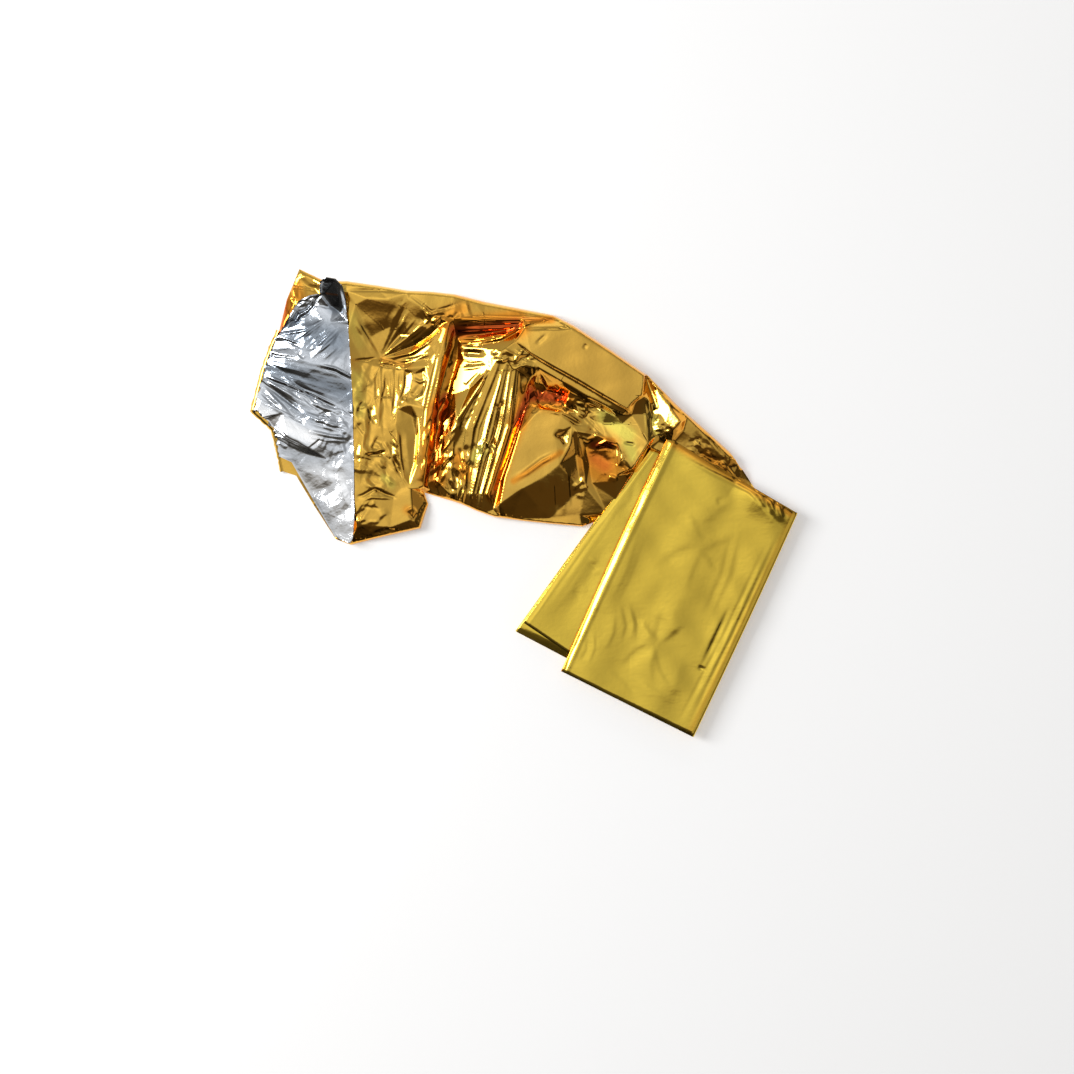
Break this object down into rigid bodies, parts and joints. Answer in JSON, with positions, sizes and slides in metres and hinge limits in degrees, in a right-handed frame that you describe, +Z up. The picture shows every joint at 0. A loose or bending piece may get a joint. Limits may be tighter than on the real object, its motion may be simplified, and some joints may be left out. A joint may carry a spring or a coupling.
{
  "type": "emergency foil blanket",
  "caption": "Metallised foil rescue blanket lying partly unfolded: a flat zig-zag packet, a crumpled run and a turned-back silver end.",
  "frame": {"origin": "middle of the bounding box, on the surface that the blanket lies on", "axes": "+Z up from the surface, +X along the run from the turned-back end to the packet"},
  "size_m": [0.288, 0.245, 0.0154],
  "materials": {
    "gold_film": "mirror-bright metallised film, gold on one side and silver on the other"
  },
  "bodies": {
    "root": {"foil_blanket": "gold_film"}
  },
  "joints": []
}
